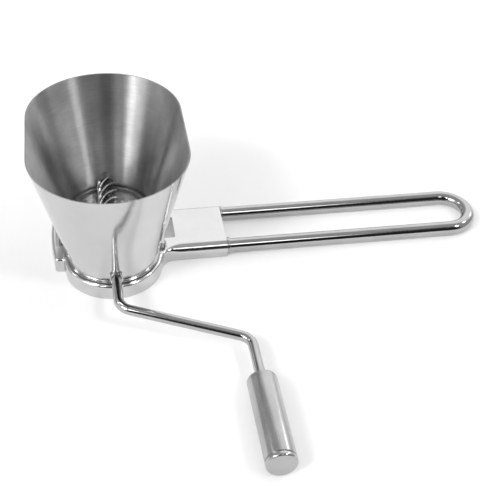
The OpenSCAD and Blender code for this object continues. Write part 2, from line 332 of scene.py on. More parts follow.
def bent_strip(name, path, width, thickness, y, finish):
    """A flat strip bent along a path of (x, z), with eased edges."""
    path = [Vector((p[0], 0, p[1])) for p in path]
    count = len(path)
    verts = []
    for i, p in enumerate(path):
        ahead = path[min(i + 1, count - 1)] - path[max(i - 1, 0)]
        across = Vector((ahead.z, 0, -ahead.x)).normalized() * thickness / 2
        for d in (across, -across):
            for w in (-width / 2, width / 2):
                verts.append((p.x + d.x, y + w, p.z + d.z))
    faces = []
    for i in range(count - 1):
        a, b = 4 * i, 4 * (i + 1)
        faces += [[a, a + 1, b + 1, b], [a + 2, b + 2, b + 3, a + 3],
                  [a, b, b + 2, a + 2], [a + 1, a + 3, b + 3, b + 1]]
    faces += [[0, 2, 3, 1], [4 * count - 4, 4 * count - 3, 4 * count - 1, 4 * count - 2]]
    piece = new_piece(name, verts, faces, [finish])
    tidy_mesh(piece)
    ease = piece.modifiers.new("eased edges", "BEVEL")
    ease.width = 0.15 * MM
    ease.segments = 2
    ease.limit_method = "ANGLE"
    ease.angle_limit = math.radians(50)
    piece.data.set_sharp_from_angle(angle=math.radians(40))
    return piece


# ---------------------------------------------------------------- finishes

def shade(code):
    """Linear colour from an sRGB hex code."""
    out = []
    for i in (0, 2, 4):
        c = int(code[i:i + 2], 16) / 255
        out.append(c / 12.92 if c <= 0.04045 else ((c + 0.055) / 1.055) ** 2.4)
    return (*out, 1.0)


def add(tree, kind, sockets=None, **settings):
    """Adds a node. A socket's value is a number or colour, or another node's output to link."""
    node = tree.nodes.new(kind)
    for name, value in settings.items():
        setattr(node, name, value)
    for name, value in (sockets or {}).items():
        if isinstance(value, bpy.types.NodeSocket):
            tree.links.new(value, node.inputs[name])
        else:
            node.inputs[name].default_value = value
    return node


def new_material(name):
    """An empty material, its node tree, and the Object coordinates that its patterns use."""
    material = bpy.data.materials.new(name)
    material.use_nodes = True
    tree = material.node_tree
    tree.nodes.clear()
    return material, tree, add(tree, "ShaderNodeTexCoord").outputs["Object"]


def noise(tree, where, size, detail, rough=0.5):
    """Noise with features of about size, in millimetres."""
    sockets = {"Vector": where, "Scale": 1 / (size * MM), "Detail": detail, "Roughness": rough}
    return add(tree, "ShaderNodeTexNoise", sockets).outputs["Fac"]


def two_tone(tree, value, dark, light):
    """A colour between two tones, from a value of 0 to 1."""
    ramp = add(tree, "ShaderNodeValToRGB", {"Fac": value})
    ramp.color_ramp.elements[0].color = shade(dark)
    ramp.color_ramp.elements[1].color = shade(light)
    return ramp.outputs["Color"]


def spread(tree, first, second, low=0.0, high=1.0):
    """The sum of two noises, stretched to run from low to high."""
    both = add(tree, "ShaderNodeMath", {0: first, 1: second}, operation="ADD").outputs["Value"]
    sockets = {"Value": both, "From Min": 0.7, "From Max": 1.3, "To Min": low, "To Max": high}
    return add(tree, "ShaderNodeMapRange", sockets).outputs["Result"]


def painted_crest_highlight(tree, where, colour, highlight_r):
    """Mixes a painted highlight, a bright tone, into the colour beyond the given radius round the shaft."""
    split = add(tree, "ShaderNodeSeparateXYZ", {"Vector": where}).outputs
    height = add(tree, "ShaderNodeMath", {0: split["Z"], 1: SHAFT_Z * MM}, operation="SUBTRACT")
    flat = add(tree, "ShaderNodeCombineXYZ", {"X": split["X"], "Y": height.outputs["Value"]})
    out = add(tree, "ShaderNodeVectorMath", {0: flat.outputs["Vector"]}, operation="LENGTH")
    sockets = {"Value": out.outputs["Value"], "From Min": (highlight_r - 0.25) * MM, "From Max": (highlight_r + 0.05) * MM}
    highlight_share = add(tree, "ShaderNodeMapRange", sockets).outputs["Result"]
    mix = add(tree, "ShaderNodeMix", {"Factor": highlight_share, 6: colour, 7: shade("E4E4E4")}, data_type="RGBA")
    return mix.outputs[2]


def steel(name, light, dark, rough, waves, lines, along=None, gloss_split=0.0, highlight_r=None):
    """Stainless steel. light and dark are its two tones, rough the lowest and highest roughness, waves
    the depth and size of its unevenness, and lines the depth and spacing of its polish or brush lines,
    all in millimetres. along draws the lines out along the piece's grain, and gloss_split is how far
    they spread its highlights. The last argument is the radius round the shaft beyond which a bright
    tone is painted in as a highlight."""
    material, tree, place = new_material(name)
    if along:
        where, unit = add(tree, "ShaderNodeUVMap", uv_map="grain").outputs["UV"], UV_STEP
    else:
        where, unit = place, MM
    # broad clouds of slightly lighter and darker metal, and lines drawn out along the polishing
    clouds = noise(tree, place, 25, 3.0, 0.55)
    stretch = tuple(s / (lines[1] * unit) for s in along or (1, 1, 1))
    drawn = add(tree, "ShaderNodeMapping", {"Vector": where, "Scale": stretch}).outputs["Vector"]
    sockets = {"Vector": drawn, "Scale": 1.0, "Detail": 4.0, "Roughness": 0.7}
    strokes = add(tree, "ShaderNodeTexNoise", sockets).outputs["Fac"]
    colour = two_tone(tree, spread(tree, clouds, strokes), dark, light)
    # painted highlight: a bright tone on the worm's crests, beyond the given radius
    if highlight_r:
        colour = painted_crest_highlight(tree, place, colour, highlight_r)
    # smudges and lines change the gloss
    gloss = spread(tree, noise(tree, place, 9, 5.0, 0.6), strokes, *rough)
    # relief: the sheet's slow waves, then the fine lines on top
    wave = noise(tree, place, waves[1], 1.0)
    slow = add(tree, "ShaderNodeBump", {"Height": wave, "Distance": waves[0] * MM}).outputs["Normal"]
    fine = add(tree, "ShaderNodeBump", {"Height": strokes, "Distance": lines[0] * MM, "Normal": slow})
    metal = add(tree, "ShaderNodeBsdfPrincipled", {
        "Base Color": colour, "Metallic": 1.0, "Roughness": gloss, "Normal": fine.outputs["Normal"]})
    if gloss_split:
        metal.inputs["Anisotropic"].default_value = gloss_split
        metal.inputs["Anisotropic Rotation"].default_value = 0.25
        grain = add(tree, "ShaderNodeTangent", direction_type="UV_MAP", uv_map="grain")
        tree.links.new(grain.outputs["Tangent"], metal.inputs["Tangent"])
    add(tree, "ShaderNodeOutputMaterial", {"Surface": metal.outputs["BSDF"]})
    return material


LENGTHWISE = (0.03, 1, 1)    # lines along the grain map's first direction
CROSSWISE = (1, 0.03, 1)     # and along its second

# Bright-rolled and buffed 304 sheet: a near mirror, with slow waves from forming.
buffed_sheet = steel("buffed 304 sheet", "CECECE", "C6C6C6", (0.10, 0.16), (0.05, 45), (0.0004, 0.5))
# The same sheet before buffing: 320-grit lines run round the hopper and draw its highlights upward.
brushed_sheet = steel("brushed 304 sheet", "D2D2D2", "A6A6A6", (0.36, 0.44), (0.03, 30), (0.0006, 0.4),
                      LENGTHWISE, 1.0)
# Sheared edge of the sheet: dull and slightly torn.
cut_edge = steel("sheared sheet edge", "A4A4A4", "828282", (0.30, 0.42), (0.01, 6), (0.001, 0.3))
# Pressed and tumbled frame sheet: a soft shine without grain.
pressed_sheet = steel("pressed 304 sheet", "D2D2D2", "C8C8C8", (0.12, 0.18), (0.04, 35), (0.0004, 0.6))
# Drawn and polished round bar: fine lines run along it.
polished_bar = steel("polished 304 bar", "BCBCBC", "ACACAC", (0.07, 0.12), (0.01, 25), (0.0004, 0.3),
                     LENGTHWISE)
# Satin tube: lengthwise belt-ground lines blur what it reflects.
satin_tube = steel("satin 304 tube", "BABABA", "A8A8A8", (0.22, 0.29), (0.01, 25), (0.0006, 0.3),
                   CROSSWISE, 0.4)
# Turned and polished cap.
turned_cap = steel("turned 304 cap", "BCBCBC", "ACACAC", (0.16, 0.24), (0.006, 15), (0.0004, 0.25),
                   LENGTHWISE)
# Cast worm, rougher than the sheet. Its dark tones are painted shade between the flights, and a painted highlight
# brightens its crests.
worm_steel_painted_light = steel("worm steel with painted shade and highlight", "8A8A8A", "5C5C5C", (0.22, 0.36), (0.02, 8), (0.001, 0.6),
                   highlight_r=WORM_R - 0.15)
# Stamped perforated plate, tumbled after punching.
stamped_plate = steel("stamped 304 plate", "B9B9B9", "A2A2A2", (0.26, 0.38), (0.03, 20), (0.0006, 0.5))
# Turned bushes, washers and pins.
turned_steel = steel("turned 303 bush", "C2C2C2", "A2A2A2", (0.14, 0.24), (0.006, 10), (0.0006, 0.25))
# Bent strips for the hooks and the catch.
strip_steel = steel("spring 301 strip", "C0C0C0", "A6A6A6", (0.16, 0.26), (0.01, 12), (0.0004, 0.5))


def moulded_plastic():
    """Acetal liner, moulded: waxy, dark grey, with a faint flow pattern."""
    material, tree, place = new_material("moulded acetal liner")
    flow = noise(tree, place, 6, 3.0)
    gloss = add(tree, "ShaderNodeMapRange", {"Value": flow, "To Min": 0.35, "To Max": 0.5}).outputs["Result"]
    skin = add(tree, "ShaderNodeBump", {"Height": flow, "Distance": 0.01 * MM}).outputs["Normal"]
    plastic = add(tree, "ShaderNodeBsdfPrincipled", {
        "Base Color": two_tone(tree, flow, "2E3234", "3B4043"), "Roughness": gloss, "IOR": 1.48, "Normal": skin})
    add(tree, "ShaderNodeOutputMaterial", {"Surface": plastic.outputs["BSDF"]})
    return material


liner_plastic = moulded_plastic()


# ---------------------------------------------------------------- hopper

def make_hopper():
    """The tapered wall with its turned-out foot lip, pierced for the shaft. Its skin is the outside."""
    lip_top = FOOT_Z + SHEET
    bend = 1.2                           # where the lip turns up into the wall
    bend_in = bend * 0.9
    bend_steps = 6
    slope = math.degrees(math.atan(LEAN))
    rings = [(FOOT_R + FOOT_LIP, lip_top, 90.0), (wall_r(lip_top) + bend_in, lip_top, 90.0)]
    for i in range(1, bend_steps + 1):
        part = i / bend_steps
        r = wall_r(lip_top + bend) + bend_in * (1 - math.sin(math.radians(90 - (90 - slope) * part)))
        z = lip_top + bend * (1 - math.cos(math.radians(90 * part)))
        rings.append((r, z, 90 - (90 + slope) * part))
    row = len(rings) - 1                 # the ring below the shaft's hole
    hole_top, wall_steps = SHAFT_Z + 8, 18
    for i in range(wall_steps + 1):
        z = hole_top + (RIM_Z - hole_top) * i / wall_steps
        rings.append((wall_r(z), z, -slope))
    # how far round the hopper each column of points stands
    run, around = [], 0.0
    loop = oblong(wall_r((FOOT_Z + RIM_Z) / 2))
    for p, q in zip(loop, loop[1:] + loop[:1]):
        run.append(around)
        around += math.hypot(q[0] - p[0], q[1] - p[1])
    run.append(around)
    count = len(run)
    points, uv = [], []
    for r, z, a in rings:
        ring = oblong(r)
        ring.append(ring[0])
        tilt = math.radians(a)
        for i, (x, y, nx, ny) in enumerate(ring):
            points.append(((x, y, z), (nx * math.cos(tilt), ny * math.cos(tilt), math.sin(tilt))))
            uv.append((run[i] * UV_STEP, z * UV_STEP))
    faces = grid_faces(len(rings), count, closed=False)
    # the patch of wall round the shaft's hole is cut out and filled again round it
    reach = 10
    left = count - 1 - reach
    patch = {row * (count - 1) + i for i in [*range(reach), *range(left, count - 1)]}
    faces = [f for k, f in enumerate(faces) if k not in patch]
    border = [row * count + i for i in [*range(left, count), *range(1, reach + 1)]]
    border += [(row + 1) * count + i for i in [*range(reach, 0, -1), *range(count - 1, left - 1, -1)]]
    hole, hole_r, hole_sides = [], 4.0, 40
    lean = math.radians(slope)
    for i in range(hole_sides):
        a = 2 * math.pi * i / hole_sides
        x, z = hole_r * math.cos(a), SHAFT_Z + hole_r * math.sin(a)
        r = wall_r(z)
        y = -HALF - math.sqrt(r * r - x * x)
        n = Vector((x / r, (y + HALF) / r, 0)) * math.cos(lean)
        hole.append(len(points))
        points.append(((x, y, z), (n.x, n.y, -math.sin(lean))))
        uv.append(((x + (0 if x >= 0 else around)) * UV_STEP, z * UV_STEP))
    index = border + hole
    for f in fill_flat([[(points[i][0][0], points[i][0][2]) for i in ring] for ring in (border, hole)]):
        ring = [index[i] for i in f]
        a, b, c = (Vector(points[i][0]) for i in ring)
        faces.append(ring if (b - a).cross(c - a).y < 0 else ring[::-1])
    finishes = [buffed_sheet, brushed_sheet, cut_edge]
    return thick_sheet("hopper_shell", points, faces, SHEET, finishes, uv, inner_finish=1)


def make_frame():
    """Pressed frame: flat top, rounded edge and skirt round the hopper, the ear, and the neck channel."""
    fillet_y = NECK_HALF + NECK_FILLET
    fillet_x = math.sqrt((FRAME_R + NECK_FILLET) ** 2 - (fillet_y - HALF) ** 2)
    meet = math.degrees(math.atan2(fillet_y - HALF, fillet_x))
    ear_r = (EAR_HALF ** 2 + EAR_BULGE ** 2) / (2 * EAR_BULGE)
    ear_cx = ear_r - EAR_X
    soft_in, soft_out = 2.2, 2.6         # the ear's inner and outer corners
    inner_y = EAR_HALF + soft_in - HALF
    inner_x = -math.sqrt((FRAME_R + soft_in) ** 2 - inner_y ** 2)
    inner_a = math.degrees(math.atan2(inner_y, -inner_x))
    corner_y = EAR_HALF - soft_out
    corner_x = ear_cx - math.sqrt((ear_r - soft_out) ** 2 - corner_y ** 2)
    corner_a = math.degrees(math.atan2(corner_y, corner_x - ear_cx))

    def flip(points):
        return [(x, y, -nx, -ny) for x, y, nx, ny in points]

    back = [(NECK_END + (fillet_x - NECK_END) * i / 16, NECK_HALF, 0, 1) for i in range(16)]
    back += flip(arc_xy(fillet_x, fillet_y, NECK_FILLET, 270, 180 + meet, 20))
    back += arc_xy(0, HALF, FRAME_R, meet, 180 - inner_a, 60)[1:]
    back += flip(arc_xy(inner_x, EAR_HALF + soft_in, soft_in, -inner_a, -90, 8)[1:])
    back += arc_xy(corner_x, corner_y, soft_out, 90, corner_a, 10)
    back += arc_xy(ear_cx, 0, ear_r, corner_a, 180, 10)[1:]
    front = [(x, -y, nx, -ny) for x, y, nx, ny in reversed(back[:-1])]
    path = back + front
    arc_steps = 8
    widen_from, widen_over = 34, 12      # where the edge grows into the channel round the rods
    points, columns = [], []
    for x, y, nx, ny in path:
        blend = min(max((x - widen_from) / widen_over, 0), 1)
        blend = blend * blend * (3 - 2 * blend)
        e = EDGE_R + (HANDLE_R + SHEET - EDGE_R) * blend
        column = [(0, 0, 0), (0, (FRAME_H - e) * 0.5, 0)]
        for k in range(arc_steps + 1):
            a = math.pi / 2 * k / arc_steps
            column.append((e * (1 - math.cos(a)), FRAME_H - e + e * math.sin(a), a))
        columns.append([((x - nx * d, y - ny * d, z), (nx * math.cos(a), ny * math.cos(a), math.sin(a)))
                        for d, z, a in column])
    rows = len(columns[0])
    count = len(columns)
    for j in range(rows):
        for i in range(count):
            points.append(columns[i][j])
    faces = grid_faces(rows, count, closed=False)
    top = [(rows - 1) * count + i for i in range(count)]
    loops = [[points[i][0][:2] for i in top]]
    index = list(top)
    # openings: one for the riced potato, a slot for each hook, the neck's window, and the catch's
    hinge_x = FRAME_R + 2.7
    slots = [(hinge_x - 2.3, hinge_x + 0.6, s * HANDLE_Y - 3.4, s * HANDLE_Y + 3.4) for s in (-1, 1)]
    window = (hinge_x - 1.3, fillet_x + 1.3, -11, 11)
    catch = (-FRAME_R - 5.2, -FRAME_R - 1.6, -11, 11)
    holes = [[(p[0], p[1]) for p in oblong(OUTLET_R)]]
    for (x0, x1, y0, y1), r in [(slots[0], 0.4), (slots[1], 0.4), (window, 1.0), (catch, 0.8)]:
        holes.append(soften([(x0, y0), (x1, y0), (x1, y1), (x0, y1)], [r] * 4))
    for hole in holes:
        loops.append(hole)
        for x, y in hole:
            index.append(len(points))
            points.append(((x, y, FRAME_H), (0, 0, 1)))
    faces += [[index[i] for i in f] for f in fill_flat(loops)]
    return thick_sheet("frame_pressing", points, faces, SHEET, [pressed_sheet, pressed_sheet, cut_edge])


def make_handle():
    """One long rod, bent round at its end."""
    bend_x = HANDLE_END - HANDLE_R - HANDLE_Y
    start = handle_low[0]
    path = [(start + (bend_x - start) * i / 24, -HANDLE_Y, HANDLE_R) for i in range(24)]
    path += [(x, y, HANDLE_R) for x, y, _, _ in arc_xy(bend_x, 0, HANDLE_Y, -90, 90, 48)]
    path += [(bend_x + (start - bend_x) * i / 24, HANDLE_Y, HANDLE_R) for i in range(1, 25)]
    return swept_rod("handle_rod", path, [HANDLE_R] * len(path), polished_bar, sides=56)


def make_collars():
    """Two collars that hug the rods where they leave the channel, open underneath."""
    verts, faces = [], []
    open_a = math.degrees(math.asin((HANDLE_R - 1) / (HANDLE_R + SHEET)))
    outer_r, width, steps = HANDLE_R + SHEET, 2, 48
    ring = soften([(HANDLE_R, 0), (outer_r, 0), (outer_r, width), (HANDLE_R, width)], [0, 0.3, 0.3, 0], 3)
    for s in (-1, 1):
        start = len(verts)
        a0, a1 = -open_a + 3, 180 + open_a - 3
        for i in range(steps + 1):
            a = math.radians(a0 + (a1 - a0) * i / steps)
            for r, x in ring:
                verts.append((NECK_END + x, s * HANDLE_Y + r * math.cos(a), HANDLE_R + r * math.sin(a)))
        faces += [[start + i for i in f] for f in grid_faces(steps + 1, len(ring))]
        faces.append([start + i for i in range(len(ring))])
        faces.append([start + steps * len(ring) + i for i in range(len(ring))][::-1])
    piece = new_piece("rod_collar_pair", verts, faces, [turned_steel])
    tidy_mesh(piece)
    piece.data.set_sharp_from_angle(angle=math.radians(40))
    return piece


# ---------------------------------------------------------------- crank, worm and grip

def make_crank():
    """One bent rod: journal, shaft, arm and spindle, in the plane through the shaft and the grip."""
    reach = math.hypot(GRIP_X, SHAFT_Z - GRIP_Z)
    turn = math.atan2(reach, ARM_LEAN)
    trim = BEND_R * math.tan(turn / 2)
    bend_y = -HALF - wall_r(SHAFT_Z) - 29    # the first bend, 29 mm out from the wall
    outer_y = bend_y - ARM_LEAN
    deg = math.degrees(turn)
    flat, radii = [], []

    def put(u, y, r=ROD_R):
        flat.append((u, y))
        radii.append(r)

    end = crank_high[1]
    put(0, end, JOURNAL_R - 0.3)
    put(0, end - 0.3, JOURNAL_R)
    put(0, core_high[1] + 0.02, JOURNAL_R)
    put(0, core_high[1], ROD_R)
    for i in range(1, 20):
        put(0, core_high[1] + (bend_y + trim - core_high[1]) * i / 20)
    for x, y, _, _ in arc_xy(BEND_R, bend_y + trim, BEND_R, 180, 180 + deg, 24):
        put(x, y)
    tail = arc_xy(reach - BEND_R, outer_y - trim, BEND_R, deg, 0, 24)
    head = flat[-1]
    for i in range(1, 12):
        put(head[0] + (tail[0][0] - head[0]) * i / 12, head[1] + (tail[0][1] - head[1]) * i / 12)
    for x, y, _, _ in tail:
        put(x, y)
    last = crank_low[1]
    for i in range(1, 12):
        put(reach, outer_y - trim + (last + 0.4 - outer_y + trim) * i / 11)
    put(reach, last, ROD_R - 0.4)
    c, s = GRIP_X / reach, (SHAFT_Z - GRIP_Z) / reach
    path = [(u * c, y, SHAFT_Z - u * s) for u, y in flat]
    return swept_rod("crank_bar", path, radii, polished_bar, sides=48)


def tube_profile(r0, r1, length, ease0=0.2, ease1=0.2):
    """Half the section of a tube, with its outer edges eased."""
    return soften([(r0, 0), (r1, 0), (r1, length), (r0, length)], [0, ease0, ease1, 0], 4)


def make_grip():
    """The turning grip: its rounded shoulder, its tube, and its cap behind a groove."""
    def part(name, profile, y, finish, grain_scale=1.0):
        return lathe(name, profile, (GRIP_X, y, GRIP_Z), finish, grain_scale=grain_scale)

    bore_r, inner_r, round_r, shoulder_len = ROD_R + 0.3, GRIP_R - TUBE_T, 3, 4
    shoulder = [(bore_r, 0), (GRIP_R, 0), (GRIP_R, shoulder_len), (bore_r, shoulder_len)]
    shoulder = soften(shoulder, [0.4, round_r, 0, 0], 10)
    tube = tube_profile(inner_r, GRIP_R, grip_high[1] - grip_low[1], 0.05, 0.25)
    cap_y = grip_low[1]
    cap_out, plug, groove = cap_y - cap_low[1], 3, 0.7
    groove_r = GRIP_R - groove
    cap = [(0, -plug), (inner_r, -plug), (inner_r, 0), (groove_r, 0), (groove_r, groove), (GRIP_R, groove),
           (GRIP_R, cap_out), (0, cap_out)]
    cap = soften(cap, [0, 0.2, 0, 0, 0.15, 0.3, 1.4, 0], 8)
    return [(part("grip_collar", shoulder, shoulder_high[1], satin_tube, 0.6), "grip_shoulder", "grip_steel"),
            (part("grip_sleeve", tube, grip_high[1], satin_tube, 0.6), "grip_tube", "grip_steel"),
            (part("grip_cap", cap, cap_y, turned_cap), "grip_end_cap", "cap_steel")]


def tree_inputs(name, sizes, counts=()):
    """An empty node tree with a named input for each size and count. Gives the tree and their sockets."""
    tree = bpy.data.node_groups.new(name, "GeometryNodeTree")
    face = tree.interface
    ids = {}
    for label in [*sizes, *counts]:
        kind = "NodeSocketInt" if label in counts else "NodeSocketFloat"
        ids[label] = face.new_socket(name=label, in_out="INPUT", socket_type=kind).identifier
    face.new_socket(name="Geometry", in_out="OUTPUT", socket_type="NodeSocketGeometry")
    return tree, ids


def make_worm_flight():
    """The worm's steep flights from a node tree: one is wound round the core, and the rest are set
    round in a ring."""
    ease = 0.4     # how far a flight's slanted end stays inside the end of the worm
    root = 0.2     # how deep a flight sits in the core
    thick = 1.2
    length = flight_high[1] - flight_low[1] - 2 * ease
    sizes = {"Length": length * MM, "Turns": length / (WORM_PITCH * WORM_STARTS),
             "Mean Radius": (CORE_R - root + WORM_R) / 2 * MM, "Depth": (WORM_R - CORE_R + root) * MM,
             "Thickness": thick * MM, "Starts": float(WORM_STARTS), "Front": (flight_low[1] + ease) * MM,
             "Shaft Height": SHAFT_Z * MM}
    tree, ids = tree_inputs("worm winding", sizes)
    given = add(tree, "NodeGroupInput").outputs

    def calc(kind, a, b=0.0):
        return add(tree, "ShaderNodeMath", {0: a, 1: b}, operation=kind).outputs[0]

    # a line of points is wound round the core
    line = add(tree, "GeometryNodeCurvePrimitiveLine").outputs["Curve"]
    points = add(tree, "GeometryNodeResampleCurve", {"Curve": line, "Count": 160}).outputs["Curve"]
    share = add(tree, "GeometryNodeSplineParameter").outputs["Factor"]
    angle = calc("MULTIPLY", calc("MULTIPLY", share, given["Turns"]), 2 * math.pi)
    x = calc("MULTIPLY", calc("COSINE", angle), given["Mean Radius"])
    y = calc("MULTIPLY", calc("SINE", angle), given["Mean Radius"])
    z = calc("MULTIPLY", share, given["Length"])
    spot = add(tree, "ShaderNodeCombineXYZ", {"X": x, "Y": y, "Z": z}).outputs["Vector"]
    wound = add(tree, "GeometryNodeSetPosition", {"Geometry": points, "Position": spot}).outputs["Geometry"]
    upright = add(tree, "GeometryNodeSetCurveNormal", {"Curve": wound}, mode="Z_UP").outputs["Curve"]
    # the blade's section is swept along it
    section = {"Width": given["Depth"], "Height": given["Thickness"]}
    blade = add(tree, "GeometryNodeCurvePrimitiveQuadrilateral", section).outputs["Curve"]
    eased = add(tree, "GeometryNodeFilletCurve", {"Curve": blade, "Radius": 0.3 * MM, "Count": 3}, mode="POLY")
    sweep = {"Curve": upright, "Profile Curve": eased.outputs["Curve"], "Fill Caps": True}
    swept = add(tree, "GeometryNodeCurveToMesh", sweep).outputs["Mesh"]
    # one flight for each start, turned on by an equal share of the circle
    spots = add(tree, "GeometryNodePoints", {"Count": given["Starts"]}).outputs["Points"]
    order = add(tree, "GeometryNodeInputIndex").outputs["Index"]
    round_by = calc("MULTIPLY", calc("DIVIDE", order, given["Starts"]), 2 * math.pi)
    spin = add(tree, "ShaderNodeCombineXYZ", {"Z": round_by}).outputs["Vector"]
    ring = add(tree, "GeometryNodeInstanceOnPoints", {"Points": spots, "Instance": swept, "Rotation": spin})
    real = add(tree, "GeometryNodeRealizeInstances", {"Geometry": ring.outputs["Instances"]}).outputs["Geometry"]
    # laid down along the shaft
    lift = add(tree, "ShaderNodeCombineXYZ", {"Y": given["Front"], "Z": given["Shaft Height"]}).outputs["Vector"]
    lay = {"Geometry": real, "Translation": lift, "Rotation": (-math.pi / 2, 0, 0)}
    laid = add(tree, "GeometryNodeTransform", lay).outputs["Geometry"]
    return from_tree("worm_blade", tree, laid, {ids[n]: v for n, v in sizes.items()}, worm_steel_painted_light)


def from_tree(name, tree, shape, values, finish):
    """Ends a node tree, runs it once and keeps its result as a plain mesh."""
    real = add(tree, "GeometryNodeRealizeInstances", {"Geometry": shape}).outputs["Geometry"]
    done = add(tree, "GeometryNodeSetMaterial", {"Geometry": real, "Material": finish}).outputs["Geometry"]
    add(tree, "NodeGroupOutput", {"Geometry": done})
    mesh = bpy.data.meshes.new(name + " start")
    worker = bpy.data.objects.new(name + " start", mesh)
    bpy.context.scene.collection.objects.link(worker)
    step = worker.modifiers.new("tree", "NODES")
    step.node_group = tree
    for key, value in values.items():
        step[key] = value
    shaped = worker.evaluated_get(bpy.context.evaluated_depsgraph_get())
    made = bpy.data.meshes.new_from_object(shaped)
    worker.modifiers.clear()
    bpy.data.objects.remove(worker)
    made.name = name
    made.materials.clear()
    made.materials.append(finish)
    piece = bpy.data.objects.new(name, made)
    bpy.context.scene.collection.objects.link(piece)
    tidy_mesh(piece)
    made.set_sharp_from_angle(angle=math.radians(35))
    return piece


# ---------------------------------------------------------------- perforated plate

def make_perforated_floor(floor_r, floor_z):
    """The tray's floor from a node tree: staggered rows of holes, kept inside the oblong field."""
    row_h = HOLE_PITCH * math.sqrt(3) / 2
    field = HALF + 15
    reach = floor_r - 2 * HOLE_R
    counts = {"Rows": int((field - 2 * HOLE_R) // row_h), "Columns": int(reach // HOLE_PITCH) + 1}
    sizes = {"Pitch": HOLE_PITCH * MM, "Row Step": row_h * MM, "Hole Radius": HOLE_R * MM, "Reach": reach * MM,
             "Straight Half": HALF * MM, "Floor Radius": floor_r * MM, "Floor Height": (floor_z - SHEET) * MM,
             "Sheet": SHEET * MM}
    tree, ids = tree_inputs("punched floor", sizes, counts)
    given = add(tree, "NodeGroupInput").outputs

    def calc(kind, a, b=0.0):
        return add(tree, "ShaderNodeMath", {0: a, 1: b}, operation=kind).outputs[0]

    wide = calc("ADD", calc("MULTIPLY", given["Columns"], 2.0), 1.0)
    tall = calc("ADD", calc("MULTIPLY", given["Rows"], 2.0), 1.0)
    total = calc("MULTIPLY", wide, tall)
    # one point for each place in the lattice, numbered along the rows
    cloud = add(tree, "GeometryNodePoints", {"Count": total}).outputs["Geometry"]
    index = add(tree, "GeometryNodeInputIndex").outputs["Index"]
    row = calc("SUBTRACT", calc("FLOOR", calc("DIVIDE", index, wide)), given["Rows"])
    col = calc("SUBTRACT", calc("FLOORED_MODULO", index, wide), given["Columns"])
    stagger = calc("DIVIDE", calc("FLOORED_MODULO", row, 2.0), 2.0)
    x = calc("MULTIPLY", calc("ADD", col, stagger), given["Pitch"])
    y = calc("MULTIPLY", row, given["Row Step"])
    spot = add(tree, "ShaderNodeCombineXYZ", {"X": x, "Y": y}).outputs["Vector"]
    placed = add(tree, "GeometryNodeSetPosition", {"Geometry": cloud, "Position": spot}).outputs["Geometry"]
    here = add(tree, "GeometryNodeInputPosition").outputs["Position"]
    where = add(tree, "ShaderNodeSeparateXYZ", {"Vector": here}).outputs
    past = calc("MAXIMUM", calc("SUBTRACT", calc("ABSOLUTE", where["Y"]), given["Straight Half"]), 0.0)
    away = calc("ADD", calc("MULTIPLY", where["X"], where["X"]), calc("MULTIPLY", past, past))
    outside = calc("GREATER_THAN", away, calc("MULTIPLY", given["Reach"], given["Reach"]))
    kept = add(tree, "GeometryNodeDeleteGeometry", {"Geometry": placed, "Selection": outside}, domain="POINT")
    ring = add(tree, "GeometryNodeCurvePrimitiveCircle", {"Resolution": 20, "Radius": given["Hole Radius"]})
    holes = {"Points": kept.outputs["Geometry"], "Instance": ring.outputs["Curve"]}
    holes = add(tree, "GeometryNodeInstanceOnPoints", holes).outputs["Instances"]
    # the outline: a circle whose two halves are pulled apart
    circle = {"Resolution": 128, "Radius": given["Floor Radius"]}
    circle = add(tree, "GeometryNodeCurvePrimitiveCircle", circle).outputs["Curve"]
    pull = calc("MULTIPLY", calc("SIGN", where["Y"]), given["Straight Half"])
    shift = add(tree, "ShaderNodeCombineXYZ", {"Y": pull}).outputs["Vector"]
    outline = add(tree, "GeometryNodeSetPosition", {"Geometry": circle, "Offset": shift}).outputs["Geometry"]
    both = add(tree, "GeometryNodeJoinGeometry")
    tree.links.new(outline, both.inputs[0])
    cut = add(tree, "GeometryNodeRealizeInstances", {"Geometry": holes}).outputs["Geometry"]
    tree.links.new(cut, both.inputs[0])
    sheet = add(tree, "GeometryNodeFillCurve", {"Curve": both.outputs[0]}, mode="TRIANGLES").outputs["Mesh"]
    up = add(tree, "ShaderNodeCombineXYZ", {"Z": 1.0}).outputs["Vector"]
    rise = {"Mesh": sheet, "Offset": up, "Offset Scale": given["Sheet"], "Individual": False}
    raised = add(tree, "GeometryNodeExtrudeMesh", rise).outputs["Mesh"]
    under = add(tree, "GeometryNodeFlipFaces", {"Mesh": sheet}).outputs["Mesh"]
    closed = add(tree, "GeometryNodeJoinGeometry")
    tree.links.new(raised, closed.inputs[0])
    tree.links.new(under, closed.inputs[0])
    weld = {"Geometry": closed.outputs[0], "Distance": 0.001 * MM}
    welded = add(tree, "GeometryNodeMergeByDistance", weld).outputs["Geometry"]
    lift = add(tree, "ShaderNodeCombineXYZ", {"Z": given["Floor Height"]}).outputs["Vector"]
    laid = add(tree, "GeometryNodeTransform", {"Geometry": welded, "Translation": lift}).outputs["Geometry"]
    values = {ids[n]: v for n, v in {**sizes, **counts}.items()}
    return from_tree("punched_floor", tree, laid, values, stamped_plate)


